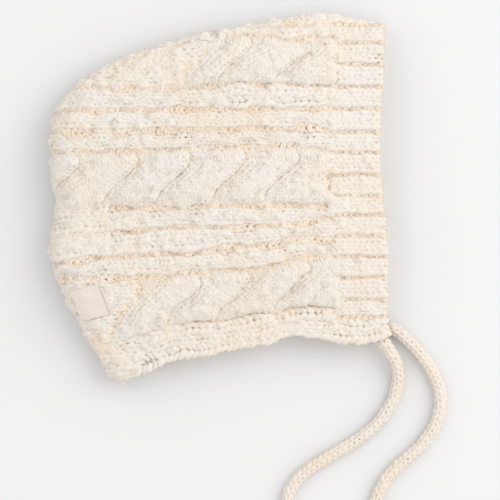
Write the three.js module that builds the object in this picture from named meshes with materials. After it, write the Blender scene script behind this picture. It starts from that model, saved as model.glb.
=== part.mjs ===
// A knitted baby bonnet lying on its side: a cable knit body folded at the crown and
// closed at the back, a ribbed brim round the face, a picked-up neck band, two tie
// cords and a small folded tab. Millimetres, +Z up. The origin is on the surface that
// the bonnet lies on, under the middle of its outline without the ties.
import * as THREE from 'three';

// Overall size of the outline, seen from above
const bonnetDepth = 180; // X, from the back fold to the face edge
const bonnetHeight = 197; // Y, from the nape corner to the crown

// Fabric
const wallThickness = 4;
const seamClearance = 0.3; // between two pieces that are knitted or sewn together
const ribRelief = 1.3; // how far a rib stands above its grooves
const cableRelief = 2.1; // how far a cable stands above its grooves
const bandRelief = 1.1; // how far the neck band's two chains stand out
const pressedRelief = 0.5; // relief that is left on the side that lies on the surface
const brimWidth = 26.5; // along X, from the face edge to the cables
const cablePitch = 28.2; // along X, from one crossing to the next
const crossingRun = 25; // how far a crossing travels along X over the cable's width
const plainShare = 0.6; // of a cable's relief, where it has faded into plain knitting
const lobeSharpness = 0.6; // below 1 is a fuller bulge between two crossings
const grooveShare = 0.3; // of a wale, from a groove's bottom to the top of its rib

// Distance between the middles of the two lying walls, halved
const bodyHalfGap = 10;
const faceHalfGap = 6.2;
const neckHalfGap = 5.5;
const faceEaseLength = 75;
const neckEaseLength = 60;
const foldRoundness = 1.3; // width of a fold for each unit of its half height
const foldShareOfRoom = 0.7; // at most, between the crown and the first whole wale
const neckPressNearFace = 0.4; // the neck's lower gap, as a share, where it meets the face

// Ties and tab
const tieDiameter = 7;
const tieSides = 10;
const tieStep = 2 * tieDiameter;
const tabLength = 15; // seen from above, from its sewn edge to the back fold
const tabWidth = 16.5;
const tabThickness = 0.8;
const tabTilt = THREE.MathUtils.degToRad(12.5);
const tabSkew = 0.16; // its ends lean by this share of the width
const tabCentre = { x: -0.366, y: -0.276 };

// Lines of the knitting from the face edge to the back, upper wall. x and y are shares
// of the outline's depth and height, counted from its middle. The first line is the
// crown fold and the last the neck edge, and wale counts the ribs down from the crown.
const waleLines = [
  { wale: 0, points: [
    { x: 0.490, y: 0.474 }, { x: 0.395, y: 0.485 }, { x: 0.313, y: 0.500 },
    { x: 0.224, y: 0.488 }, { x: 0.130, y: 0.472 }, { x: 0.035, y: 0.461 },
    { x: -0.035, y: 0.452 }, { x: -0.106, y: 0.424 }, { x: -0.195, y: 0.407 },
    { x: -0.271, y: 0.385 }, { x: -0.342, y: 0.353 }, { x: -0.407, y: 0.316 },
    { x: -0.448, y: 0.288 },
  ] },
  { wale: 3, points: [
    { x: 0.485, y: 0.296 }, { x: 0.336, y: 0.296 }, { x: 0.094, y: 0.296 },
    { x: -0.142, y: 0.296 }, { x: -0.300, y: 0.288 }, { x: -0.400, y: 0.258 },
    { x: -0.491, y: 0.213 },
  ] },
  { wale: 6, points: [
    { x: 0.475, y: 0.121 }, { x: 0.242, y: 0.121 }, { x: -0.053, y: 0.121 },
    { x: -0.348, y: 0.124 }, { x: -0.500, y: 0.129 },
  ] },
  { wale: 9, points: [
    { x: 0.490, y: -0.046 }, { x: 0.242, y: -0.043 }, { x: -0.053, y: -0.049 },
    { x: -0.289, y: -0.057 }, { x: -0.482, y: -0.055 },
  ] },
  { wale: 10, points: [
    { x: 0.496, y: -0.101 }, { x: 0.242, y: -0.102 }, { x: -0.053, y: -0.119 },
    { x: -0.289, y: -0.134 }, { x: -0.497, y: -0.145 },
  ] },
  { wale: 11, points: [
    { x: 0.499, y: -0.156 }, { x: 0.336, y: -0.156 }, { x: 0.094, y: -0.175 },
    { x: -0.053, y: -0.189 }, { x: -0.201, y: -0.199 }, { x: -0.348, y: -0.212 },
    { x: -0.480, y: -0.218 },
  ] },
  { wale: 12.5, points: [
    { x: 0.500, y: -0.243 }, { x: 0.336, y: -0.243 }, { x: 0.094, y: -0.264 },
    { x: -0.053, y: -0.283 }, { x: -0.201, y: -0.307 }, { x: -0.319, y: -0.331 },
    { x: -0.416, y: -0.337 },
  ] },
  { wale: 14, points: [
    { x: 0.500, y: -0.326 }, { x: 0.330, y: -0.326 }, { x: 0.242, y: -0.326 },
    { x: 0.094, y: -0.348 }, { x: -0.083, y: -0.377 }, { x: -0.201, y: -0.409 },
    { x: -0.270, y: -0.437 }, { x: -0.330, y: -0.472 },
  ] },
  { wale: 15, points: [
    { x: 0.496, y: -0.377 }, { x: 0.419, y: -0.394 }, { x: 0.342, y: -0.383 },
    { x: 0.242, y: -0.369 }, { x: 0.130, y: -0.391 }, { x: 0.035, y: -0.410 },
    { x: -0.059, y: -0.423 }, { x: -0.136, y: -0.435 }, { x: -0.201, y: -0.461 },
    { x: -0.248, y: -0.478 }, { x: -0.292, y: -0.489 },
  ] },
];
const firstWholeWale = 3;
const bandWale = 14;
const neckWale = 15;

// Cables: the wales they lie between, the place of a crossing's upper end, and where
// towards the back the crossings fade into plain knitting, as shares of the depth
const cables = [
  { from: 0, to: 3, crossing: 0.265, fadeStart: -0.03, fadeEnd: -0.15 },
  { from: 6, to: 9, crossing: 0.224, fadeStart: -0.50, fadeEnd: -0.60 },
  { from: 11, to: 14, crossing: 0.265, fadeStart: -0.30, fadeEnd: -0.42 },
];

// Soft dents and swells of the upper wall. Places are shares of depth and height,
// reach is a share of the depth, and drop is a share of the body's half gap.
const dents = [
  { x: -0.36, y: -0.02, reach: 0.10, drop: 0.16 },
  { x: -0.20, y: 0.27, reach: 0.12, drop: 0.12 },
  { x: 0.05, y: -0.24, reach: 0.12, drop: 0.12 },
  { x: -0.10, y: 0.06, reach: 0.14, drop: -0.14 },
  { x: 0.30, y: 0.20, reach: 0.12, drop: -0.12 },
];

// Routes of the ties' centre lines, from the neck band's end to the free end
const upperTieRoute = [
  [87.8, -75.6, 9.0], [90.2, -79.6, 8.6], [93.4, -84.6, 7.6], [95.3, -89.2, 6.2],
  [96.1, -94.2, 4.7], [95.5, -100.0, 3.8], [94.0, -106.2, 3.6], [90.5, -112.6, 3.6],
  [86.0, -118.9, 3.6], [79.1, -125.3, 3.6], [69.6, -131.7, 3.6], [61.1, -136.5, 3.6],
  [51.8, -142.3, 3.6], [45.9, -146.6, 3.6], [41.7, -150.8, 3.6], [38.8, -155.1, 3.6],
  [37.2, -159.8, 3.6], [36.1, -166.2, 3.6], [35.8, -173.1, 3.6], [36.6, -180.5, 3.6],
  [38.2, -187.4, 3.6],
];
const lowerTieRoute = [
  [90.8, -69.0, 3.6], [94.4, -70.1, 3.6], [98.4, -73.4, 3.6], [103.2, -77.7, 3.6],
  [107.3, -82.3, 3.6], [111.0, -87.1, 3.6], [114.2, -92.4, 3.6], [116.6, -97.7, 3.6],
  [118.1, -103.0, 3.6], [118.7, -108.9, 3.6], [117.9, -114.7, 3.6], [115.5, -121.1, 3.6],
  [112.0, -126.9, 3.6], [107.3, -132.8, 3.6], [102.0, -137.5, 3.6], [96.4, -142.3, 3.6],
  [91.6, -147.1, 3.6], [87.9, -152.4, 3.6], [84.7, -159.3, 3.6], [82.3, -166.2, 3.6],
  [81.2, -173.6, 3.6], [81.2, -181.6, 3.6], [82.3, -187.4, 3.6],
];

// Mesh steps. Even counts, because the inside takes every second line.
const brimColumns = 4;
const bodyColumns = 26;
const foldSteps = 6;
const underCrownRows = 5;
const rowsPerWale = 3;
const bandRows = 4;
const tabSteps = { length: 8, width: 4 };

const slopeStep = 0.5; // distance over which slopes are taken

const halfWall = wallThickness / 2;
const foldInset = halfWall + ribRelief; // from the outline to the middle of the wall
const restHeight = halfWall + pressedRelief; // middle of the lying wall

function steps(from, to, count) {
  return Array.from({ length: count + 1 }, (_, k) => from + ((to - from) * k) / count);
}

// Smooth value at a place, through stations that rise in place
function through(stations, place) {
  const last = stations.length - 1;
  if (place <= stations[0].place) return stations[0].value;
  if (place >= stations[last].place) return stations[last].value;
  let k = 0;
  while (place > stations[k + 1].place) k += 1;
  const slope = (i) => {
    const before = stations[Math.max(i - 1, 0)];
    const after = stations[Math.min(i + 1, last)];
    return (after.value - before.value) / (after.place - before.place);
  };
  const span = stations[k + 1].place - stations[k].place;
  const t = (place - stations[k].place) / span;
  const rise = stations[k + 1].value - stations[k].value;
  const startBend = slope(k) * span - rise;
  const endBend = rise - slope(k + 1) * span;
  const bend = t * (1 - t) * ((1 - t) * startBend + t * endBend);
  return stations[k].value + t * rise + bend;
}

function ease(t) {
  return THREE.MathUtils.smoothstep(t, 0, 1);
}

// The knitting lines in millimetres, with the crown and the back moved in to the
// middle of the wall, sorted from the back to the face
const lines = waleLines.map(({ wale, points }) => {
  const stations = points.map(({ x, y }, i) => ({
    place: x * bonnetDepth + (i === points.length - 1 ? foldInset : 0),
    value: y * bonnetHeight - (wale === 0 ? foldInset : 0),
  }));
  return { wale, stations: stations.reverse() };
});

const crownStations = lines[0].stations;
const neckStations = lines[lines.length - 1].stations;
const ends = (pick) => lines
  .map(({ stations }) => pick(stations))
  .map(({ place, value }) => ({ place: value, value: place }))
  .reverse();
const backStations = ends((stations) => stations[0]);
const faceStations = ends((stations) => stations[stations.length - 1]);

// Distance from a boundary line, square to it
function distanceFrom(stations, place, offset) {
  const rise = through(stations, place + slopeStep) - through(stations, place - slopeStep);
  return offset / Math.hypot(1, rise / (2 * slopeStep));
}

function halfGap(x, y) {
  const nearFace = 1 - ease((through(faceStations, y) - x) / faceEaseLength);
  const nearNeck = 1 - ease((y - through(neckStations, x)) / neckEaseLength);
  const faceLoss = (bodyHalfGap - faceHalfGap) * nearFace;
  const neckLoss = (bodyHalfGap - neckHalfGap) * nearNeck;
  return bodyHalfGap - faceLoss - neckLoss * (1 - (1 - neckPressNearFace) * nearFace);
}

// Height share of a rounded fold, 0 on the fold line and 1 where the wall lies flat
function foldShare(distance, width) {
  const t = THREE.MathUtils.clamp(1 - distance / width, 0, 1);
  return Math.sqrt(1 - t * t);
}

function wallShare(x, y) {
  const width = foldRoundness * halfGap(x, y);
  const below = through(crownStations, x) - y;
  const inside = x - through(backStations, y);
  const crownShare = foldShare(distanceFrom(crownStations, x, below), width);
  const backShare = foldShare(distanceFrom(backStations, y, inside), width);
  return Math.min(crownShare, backShare);
}

function dentDepth(x, y) {
  return dents.reduce((sum, dent) => {
    const away = Math.hypot(x - dent.x * bonnetDepth, y - dent.y * bonnetHeight);
    const reach = dent.reach * bonnetDepth;
    return sum + dent.drop * bodyHalfGap * Math.exp(-((away / reach) ** 2));
  }, 0);
}

// Height of the middle of the upper (+1) or lying (-1) wall
function wallHeight(x, y, side, share) {
  const gap = halfGap(x, y);
  const dent = side > 0 ? dentDepth(x, y) * share : 0;
  return restHeight + gap * (1 + side * share) - dent;
}

// Place on one knitting line. column runs 0 to 1 over the brim, 1 to 2 over the body
// and 2 to 3 round the back fold.
function placeOnLine({ stations }, column) {
  const faceX = stations[stations.length - 1].place;
  const backX = stations[0].place;
  const foldStart = backX + foldRoundness * halfGap(backX, stations[0].value);
  const brimX = faceX - brimWidth;
  let x = faceX - column * brimWidth;
  if (column > 1) x = brimX + (column - 1) * (foldStart - brimX);
  if (column > 2) {
    x = backX + (foldStart - backX) * (1 - Math.sin(((column - 2) * Math.PI) / 2));
  }
  return { x, y: through(stations, x) };
}

// Place in the outline. row runs 0 to 1 round the crown fold, then counts wales.
function placeInOutline(column, row) {
  const across = (key) => through(
    lines.map((line) => ({ place: line.wale, value: placeOnLine(line, column)[key] })),
    Math.max(row, firstWholeWale),
  );
  if (row >= firstWholeWale) return { x: across('x'), y: across('y') };
  const crown = placeOnLine(lines[0], column);
  const under = { x: across('x'), y: across('y') };
  const room = crown.y - under.y;
  const fold = foldRoundness * halfGap(crown.x, crown.y);
  const width = Math.min(fold, foldShareOfRoom * room);
  const drop = row < 1
    ? width * (1 - Math.cos((row * Math.PI) / 2))
    : width + ((room - width) * (row - 1)) / (firstWholeWale - 1);
  const t = drop / room;
  return { x: crown.x + (under.x - crown.x) * t, y: crown.y - drop };
}

// Counts wales down from the crown, also where the crown fold cuts across them
function waleAt(x, y, row) {
  if (row >= firstWholeWale) return row;
  const [crown, line] = lines.map(({ stations }) => stations);
  const ribPitch = (crown.at(-1).value - line.at(-1).value) / firstWholeWale;
  return firstWholeWale - (y - through(line, x)) / ribPitch;
}

function ribHeight(wale) {
  const fromGroove = Math.abs(wale - Math.round(wale));
  return ribRelief * ease(fromGroove / grooveShare);
}

function cableHeight(cable, x, wale) {
  const across = ((cable.from + cable.to) / 2 - wale) / ((cable.to - cable.from) / 2);
  const edge = 1 - across ** 4;
  const upperEnd = cable.crossing * bonnetDepth;
  const line = upperEnd + (crossingRun / 2) * (Math.sin((across * Math.PI) / 2) - 1);
  const turn = (((x - line) / cablePitch) % 1 + 1) % 1;
  const lobe = Math.sin(turn * Math.PI) ** lobeSharpness;
  const fade = ease(
    (x / bonnetDepth - cable.fadeEnd) / (cable.fadeStart - cable.fadeEnd),
  );
  return edge * cableRelief * (lobe * fade + plainShare * (1 - fade));
}

function bodyRelief(x, wale) {
  const cable = cables.find(({ from, to }) => wale >= from && wale <= to);
  return cable ? cableHeight(cable, x, wale) : ribHeight(wale);
}

function bandHeight(x, wale) {
  return bandRelief * Math.abs(Math.sin((wale - bandWale) * 2 * Math.PI));
}

// The fabric's lines: columns from the face edge to the back, rows from the crown down
const columnPlaces = [
  ...steps(0, 1, brimColumns),
  ...steps(1, 2, bodyColumns).slice(1),
  ...steps(2, 3, foldSteps).slice(1),
];
const rowPlaces = [
  ...steps(0, 1, foldSteps),
  ...steps(1, firstWholeWale, underCrownRows).slice(1),
  ...steps(firstWholeWale, bandWale, (bandWale - firstWholeWale) * rowsPerWale).slice(1),
  ...steps(bandWale, neckWale, bandRows).slice(1),
];
const backColumn = columnPlaces.length - 1;
const neckRow = rowPlaces.length - 1;
const bandRow = neckRow - bandRows;

// Calls visit with the four corners of each cell of both walls, turned outwards
function eachCell(columns, rows, step, visit) {
  [1, -1].forEach((side) => {
    for (let i = columns.from; i < columns.to; i += step) {
      for (let j = rows.from; j < rows.to; j += step) {
        const corners = [[i, j], [i + step, j], [i + step, j + step], [i, j + step]];
        const [a, b, c, d] = corners.map(([column, row]) => [side, column, row]);
        if (side > 0) visit(a, b, c, d);
        else visit(a, d, c, b);
      }
    }
  });
}

// Both walls share their vertices on the crown and back folds
function vertexName([side, i, j]) {
  return `${j === 0 || i === backColumn ? 0 : side},${i},${j}`;
}

// Middle of the wall: point, outward normal and wale at every crossing of the lines
function middleOfWall() {
  const vertices = new Map();
  [1, -1].forEach((side) => columnPlaces.forEach((column, i) => {
    rowPlaces.forEach((row, j) => {
      const { x, y } = placeInOutline(column, row);
      const share = j === 0 || i === backColumn ? 0 : wallShare(x, y);
      const point = new THREE.Vector3(x, y, wallHeight(x, y, side, share));
      const wale = waleAt(x, y, row);
      vertices.set(vertexName([side, i, j]), { point, wale, normal: new THREE.Vector3() });
    });
  }));
  const all = { columns: { from: 0, to: backColumn }, rows: { from: 0, to: neckRow } };
  eachCell(all.columns, all.rows, 1, (...corners) => {
    const [a, b, c, d] = corners.map((corner) => vertices.get(vertexName(corner)));
    const square = new THREE.Vector3().subVectors(c.point, a.point)
      .cross(new THREE.Vector3().subVectors(d.point, b.point));
    [a, b, c, d].forEach(({ normal }) => normal.add(square));
  });
  vertices.forEach(({ normal }) => normal.normalize());
  return vertices;
}
const wall = middleOfWall();

// Half a seam clearance, square to the seam, from its vertex into the piece
function seamShift(vertex, inward, along) {
  const tangent = new THREE.Vector3().subVectors(along[1].point, along[0].point).normalize();
  const shift = new THREE.Vector3().subVectors(inward.point, vertex.point);
  shift.addScaledVector(tangent, -shift.dot(tangent));
  return shift.setLength(seamClearance / 2);
}

// Closed piece of the folded fabric over a range of columns and rows, with the
// knitting's relief outside and a plain inside of half as many lines
function foldedPiece({ name, columns, rows, relief, material }) {
  const foldedTop = rows.from === 0;
  const foldedBack = columns.to === backColumn;
  const indexOf = new Map();
  const outside = [];
  const inside = [];

  const at = (side, i, j) => wall.get(vertexName([side, i, j]));
  const place = (side, i, j) => {
    const vertex = at(side, i, j);
    const point = vertex.point.clone();
    if (j === bandRow) {
      const inward = at(side, i, rows.to === bandRow ? j - 1 : j + 1);
      const [before, after] = [Math.max(i - 1, 0), Math.min(i + 1, backColumn)];
      point.add(seamShift(vertex, inward, [at(side, before, j), at(side, after, j)]));
    }
    if (i === brimColumns && rows.to <= bandRow) {
      const inward = at(side, columns.to === brimColumns ? i - 1 : i + 1, j);
      const [before, after] = [Math.max(j - 1, 0), j + 1];
      point.add(seamShift(vertex, inward, [at(side, i, before), at(side, i, after)]));
    }
    return point;
  };
  const layer = (point, normal, distance) => {
    const moved = point.clone().addScaledVector(normal, distance);
    moved.z = Math.max(moved.z, 0);
    return moved.toArray();
  };
  [1, -1].forEach((side) => {
    for (let i = columns.from; i <= columns.to; i += 1) {
      for (let j = rows.from; j <= rows.to; j += 1) {
        const { normal, wale } = at(side, i, j);
        const point = place(side, i, j);
        const key = vertexName([side, i, j]);
        if (!indexOf.has(key)) {
          indexOf.set(key, outside.length);
          outside.push(layer(point, normal, halfWall + relief(point.x, wale)));
          inside.push(layer(point, normal, -halfWall));
        }
      }
    }
  });
  const outer = (corner) => indexOf.get(vertexName(corner));
  const inner = (corner) => outer(corner) + outside.length;

  const faces = [];
  eachCell(columns, rows, 1, (...corners) => {
    const [a, b, c, d] = corners.map(outer);
    faces.push(a, b, d, b, c, d);
  });
  eachCell(columns, rows, 2, (...corners) => {
    const [a, b, c, d] = corners.map(inner);
    faces.push(d, b, a, d, c, b);
  });
  const rim = (from, to, corner, flipped) => [1, -1].forEach((side) => {
    for (let k = from; k < to; k += 2) {
      const [o0, o1, o2] = [k, k + 1, k + 2].map((n) => outer([side, ...corner(n)]));
      const [i0, i2] = [k, k + 2].map((n) => inner([side, ...corner(n)]));
      const turned = (side > 0) === flipped;
      [[o0, o1, i0], [o1, i2, i0], [o1, o2, i2]].forEach(([p, q, r]) => {
        faces.push(...(turned ? [p, r, q] : [p, q, r]));
      });
    }
  });
  rim(rows.from, rows.to, (j) => [columns.from, j], false);
  rim(columns.from, columns.to, (i) => [i, rows.to], false);
  if (!foldedTop) rim(columns.from, columns.to, (i) => [i, rows.from], true);
  if (!foldedBack) rim(rows.from, rows.to, (j) => [columns.to, j], true);

  return closedMesh(name, [...outside, ...inside].flat(), faces, material);
}

// Mesh from a list of points and the corners of its triangles
function closedMesh(name, positions, faces, material) {
  const geometry = new THREE.BufferGeometry();
  geometry.setAttribute('position', new THREE.Float32BufferAttribute(positions, 3));
  geometry.setIndex(faces);
  geometry.computeVertexNormals();
  const mesh = new THREE.Mesh(geometry, material);
  mesh.name = name;
  return mesh;
}

function knitMaterial(color) {
  return new THREE.MeshStandardMaterial({ color, roughness: 0.95, metalness: 0 });
}
const creamKnit = knitMaterial(0xf4eadc);
const ribKnit = knitMaterial(0xf1e5d5);
const bandKnit = knitMaterial(0xf2e7d8);
const tieKnit = knitMaterial(0xf5ebdd);
const tabCloth = new THREE.MeshStandardMaterial({ color: 0xefe8e0, roughness: 0.8, metalness: 0 });

function cableBody() {
  return foldedPiece({
    name: 'cable_body',
    columns: { from: brimColumns, to: backColumn },
    rows: { from: 0, to: bandRow },
    relief: bodyRelief,
    material: creamKnit,
  });
}

function ribBrim() {
  return foldedPiece({
    name: 'rib_brim',
    columns: { from: 0, to: brimColumns },
    rows: { from: 0, to: bandRow },
    relief: (x, wale) => ribHeight(wale),
    material: ribKnit,
  });
}

function neckBand() {
  return foldedPiece({
    name: 'neck_band',
    columns: { from: 0, to: backColumn },
    rows: { from: bandRow, to: neckRow },
    relief: bandHeight,
    material: bandKnit,
  });
}

function tieCord(name, route) {
  const path = new THREE.CatmullRomCurve3(route.map((p) => new THREE.Vector3(...p)));
  const section = new THREE.Shape().absarc(0, 0, tieDiameter / 2, 0, 2 * Math.PI, false);
  const geometry = new THREE.ExtrudeGeometry(section, {
    extrudePath: path,
    steps: Math.ceil(path.getLength() / tieStep),
    curveSegments: tieSides / 2,
  });
  const mesh = new THREE.Mesh(geometry, tieKnit);
  mesh.name = name;
  return mesh;
}

// Small folded tab that lies on the upper wall and ends at the back fold
function labelTab() {
  const lengths = steps(-tabLength / 2, tabLength / 2, tabSteps.length);
  const widths = steps(-tabWidth / 2, tabWidth / 2, tabSteps.width);
  const centre = { x: tabCentre.x * bonnetDepth, y: tabCentre.y * bonnetHeight };
  const height = (x, y) => wallHeight(x, y, 1, wallShare(x, y));
  const lift = halfWall + cableRelief + seamClearance;
  const positions = [];
  [lift, lift + tabThickness].forEach((distance) => {
    lengths.forEach((along) => widths.forEach((across) => {
      const leaning = along - tabSkew * across;
      const x = centre.x + leaning * Math.cos(tabTilt) - across * Math.sin(tabTilt);
      const y = centre.y + leaning * Math.sin(tabTilt) + across * Math.cos(tabTilt);
      const normal = new THREE.Vector3(
        height(x - slopeStep, y) - height(x + slopeStep, y),
        height(x, y - slopeStep) - height(x, y + slopeStep),
        2 * slopeStep,
      ).normalize();
      const point = new THREE.Vector3(x, y, height(x, y)).addScaledVector(normal, distance);
      positions.push(...point.toArray());
    }));
  });

  const across = widths.length;
  const layer = lengths.length * across;
  const at = (i, j, top) => i * across + j + (top ? layer : 0);
  const faces = [];
  const quad = (a, b, c, d) => faces.push(a, b, c, a, c, d);
  for (let i = 0; i < lengths.length - 1; i += 1) {
    for (let j = 0; j < across - 1; j += 1) {
      quad(at(i, j, true), at(i + 1, j, true), at(i + 1, j + 1, true), at(i, j + 1, true));
      quad(at(i, j), at(i, j + 1), at(i + 1, j + 1), at(i + 1, j));
    }
    quad(at(i, 0), at(i + 1, 0), at(i + 1, 0, true), at(i, 0, true));
    quad(at(i + 1, across - 1), at(i, across - 1), at(i, across - 1, true),
      at(i + 1, across - 1, true));
  }
  const end = lengths.length - 1;
  for (let j = 0; j < across - 1; j += 1) {
    quad(at(0, j + 1), at(0, j), at(0, j, true), at(0, j + 1, true));
    quad(at(end, j), at(end, j + 1), at(end, j + 1, true), at(end, j, true));
  }
  return closedMesh('label_tab', positions, faces, tabCloth);
}

const bonnet = new THREE.Group();
bonnet.add(
  cableBody(),
  ribBrim(),
  neckBand(),
  tieCord('tie_upper', upperTieRoute),
  tieCord('tie_lower', lowerTieRoute),
  labelTab(),
);

export default bonnet;
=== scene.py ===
import math

import bmesh
import bpy
import numpy as np
from bpy.props import FloatProperty, FloatVectorProperty, IntProperty, PointerProperty
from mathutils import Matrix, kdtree


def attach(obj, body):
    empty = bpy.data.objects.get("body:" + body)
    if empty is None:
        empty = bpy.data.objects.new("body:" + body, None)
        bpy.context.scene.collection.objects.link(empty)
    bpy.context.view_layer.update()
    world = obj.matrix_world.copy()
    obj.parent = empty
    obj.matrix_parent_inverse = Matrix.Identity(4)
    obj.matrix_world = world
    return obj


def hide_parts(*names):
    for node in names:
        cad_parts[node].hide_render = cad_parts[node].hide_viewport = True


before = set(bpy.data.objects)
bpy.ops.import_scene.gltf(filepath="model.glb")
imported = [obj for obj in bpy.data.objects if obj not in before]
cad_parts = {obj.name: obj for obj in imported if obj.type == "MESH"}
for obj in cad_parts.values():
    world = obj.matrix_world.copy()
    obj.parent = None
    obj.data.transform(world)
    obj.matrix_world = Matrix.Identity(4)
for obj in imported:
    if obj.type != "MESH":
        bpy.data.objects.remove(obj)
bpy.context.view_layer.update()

bl_info = {
    "name": "Cable Knit Baby Bonnet",
    "version": (1, 0, 0),
    "blender": (4, 5, 0),
    "location": "3D View > Sidebar > Bonnet",
    "description": "Knits a baby bonnet stitch by stitch round its packed solids",
    "category": "Object",
}

MM = 0.001

# Lying outline of the folded wall, in mm, as the solids have it
DEPTH = 180.0
HEIGHT = 197.0
HALF_WALL = 2.0
RIB_RELIEF = 1.3
FOLD_INSET = HALF_WALL + RIB_RELIEF
REST_HEIGHT = 2.5
BODY_HALF_GAP = 10.0
FACE_HALF_GAP = 6.2
NECK_HALF_GAP = 5.5
FACE_EASE = 75.0
NECK_EASE = 60.0
NECK_PRESS_NEAR_FACE = 0.4
FOLD_ROUNDNESS = 1.3
BRIM_WIDTH = 26.5

# How far past the fold the stitches still go, in mm, and the lowest place of any yarn
PAST_FOLD = 1.3
FLOOR_ROOM = 0.05

# Crown fold, x and y as shares of depth and height from the face to the back
CROWN = [
    (0.490, 0.474), (0.395, 0.485), (0.313, 0.500), (0.224, 0.488), (0.130, 0.472),
    (0.035, 0.461), (-0.035, 0.452), (-0.106, 0.424), (-0.195, 0.407), (-0.271, 0.385),
    (-0.342, 0.353), (-0.407, 0.316), (-0.448, 0.288),
]
# Back fold, from the crown down to the nape
BACK = [
    (-0.448, 0.288), (-0.491, 0.213), (-0.500, 0.129), (-0.482, -0.055), (-0.497, -0.145),
    (-0.480, -0.218), (-0.416, -0.337), (-0.330, -0.472), (-0.292, -0.489),
]
# Face edge, from the crown down to the neck
FACE = [
    (0.490, 0.474), (0.485, 0.296), (0.475, 0.121), (0.490, -0.046), (0.496, -0.101),
    (0.499, -0.156), (0.500, -0.243), (0.500, -0.326), (0.496, -0.377),
]
# Neck edge, from the face to the nape
NECK = [
    (0.496, -0.377), (0.419, -0.394), (0.342, -0.383), (0.242, -0.369), (0.130, -0.391),
    (0.035, -0.410), (-0.059, -0.423), (-0.136, -0.435), (-0.201, -0.461), (-0.248, -0.478),
    (-0.292, -0.489),
]
# Soft dents and swells of the upper wall: x, y, reach and drop, as shares
DENTS = [
    (-0.36, -0.02, 0.10, 0.16),
    (-0.20, 0.27, 0.12, 0.12),
    (0.05, -0.24, 0.12, 0.12),
    (-0.10, 0.06, 0.14, -0.14),
    (0.30, 0.20, 0.12, -0.12),
]

# Purl grooves of the body in mm, each from the back to the face
GROOVES = {
    "crown": [(-90, 83), (-20, 84), (16, 85), (32, 83), (62, 85)],
    "crown_ridge": [(-90, 91), (12, 91.5), (30, 90.3), (62, 91.5)],
    "cable_top_edge": [(-90, 57), (-23, 57.4), (4, 60), (17, 60.5), (60, 58.9)],
    "rib_1": [(-90, 45.5), (-41, 46.2), (9, 46.7), (60, 47.3)],
    "rib_2": [(-90, 34.5), (-25, 35.0), (44, 36.6), (60, 35.6)],
    "cable_mid_edge": [(-90, 24), (-47, 24), (-20, 25.5), (12, 26.5), (49, 26.5), (60, 24.5)],
    "cable_mid_foot": [(-90, -6), (-63, -5.5), (-21, -5.1), (4, -4), (44, -3.6), (60, -4.2)],
    "rib_3": [(-90, -22), (-60, -20.2), (-36, -17), (-15, -15.4), (17, -15.7), (44, -13.8),
              (60, -11.7)],
    "rib_4": [(-90, -34.5), (-60, -31.9), (-29, -29.5), (-10, -28.7), (12, -25.5),
              (28, -25), (44, -22.3), (60, -22)],
    "cable_low_edge": [(-90, -43), (-72, -42.5), (-40, -42), (-15, -40.1), (0, -38.8),
                       (28, -36.1), (40, -31.9), (60, -31.3)],
    "cable_low_foot": [(-90, -98), (-60, -84), (-45, -74), (-25.5, -67.8), (-7, -65.3),
                       (2, -65.3), (22, -61), (34, -60), (49, -57.5), (62, -58.9)],
}
# These grooves run out into plain knitting near the back fold
FADING = ("cable_mid_foot", "rib_3")
FADE_AT = -58.0
# Widths of a groove between two ribs and of the purl wale in it
GROOVE_WIDTH = 3.9
PURL_WALE = 4.3
BRIM_GROOVES = [90.8, 81.8, 70.6, 58.9, 47.3, 35.0, 23.9, 12.2, 1.1, -9.0, -20.2, -30.8, -41.9,
                -53.6, -63.2]
# The rib that ends in a closed arch at the brim's inner side: x, upper and lower y
CLOSED_RIB = (57.6, 12.2, 1.1)
# Lines of the neck band in mm: its seam and the line between its two chains
BAND_SEAM = [(-56, -100), (-52, -96.6), (-45, -88.1), (-40.4, -80.7), (-30.8, -75.9),
             (-18.6, -72.7), (3.7, -71.2), (35, -65.3), (48.3, -64.8), (62, -64.3), (90, -64.3)]
BAND_MIDDLE = [(-54, -99.5), (-46, -92), (-38.8, -82.8), (-32.9, -81.2), (-21.8, -78.6),
               (-9.6, -77.8), (3.2, -76.7), (24, -72.2), (44, -69.0), (62, -70.5), (90, -69.5)]

# One crossing of a cable: where its edge runs. rise is the place across the cable, from -1
# at its foot to 1 at its top, and run is the distance back from the crossing's upper end.
CROSSING = [
    (-1.15, -22.5), (-0.80, -18.5), (-0.50, -16.5), (-0.25, -13.5), (0.00, -9.5),
    (0.20, -6.0), (0.45, -2.5), (0.70, 0.0), (0.90, -1.0), (1.15, -2.7),
]
# Room between a groove and the cable beside it, width of a cable's stitches along the cable
# and how steeply its wales run
CABLE_MARGIN = 1.3
CABLE_SPACING = 3.6
LOBE_SLOPE = math.sin(math.radians(52))
CABLES = {
    "top": {"edge": "crown", "foot": "cable_top_edge", "ends": (96.0, 48.2, 18.1, -1.3)},
    "mid": {
        "edge": "cable_mid_edge",
        "foot": "cable_mid_foot",
        "ends": (96.0, 41.9, 14.8, -14.6, -42.5, -72.7, -101.0),
    },
    "low": {
        "edge": "cable_low_edge",
        "foot": "cable_low_foot",
        "ends": (96.0, 48.3, 17.3, -9.6, -39.4),
    },
}

# Woven tab: its middle as shares, then length, width and thickness in mm, tilt and skew
TAB_MIDDLE = (-0.366, -0.276)
TAB_SIZE = (15.0, 16.5, 0.8)
TAB_TILT = math.radians(12.5)
TAB_SKEW = 0.16
TAB_LIFT = 3.5

# Camera: its place over the floor and the level in the bonnet that the view is measured at
CAMERA_PLACE = (0.0170, -0.0276)
VIEW_LEVEL = 0.012

# Ties, in mm: radius of the core that four wales run round, radius of the yarn, height of
# a stitch and length of a whole turn divided by two pi
CORD_CORE = 2.15
CORD_YARN = 1.02
CORD_COURSE = 3.4
CORD_TWIST = 90.0
CORD_WALES = 4

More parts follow.
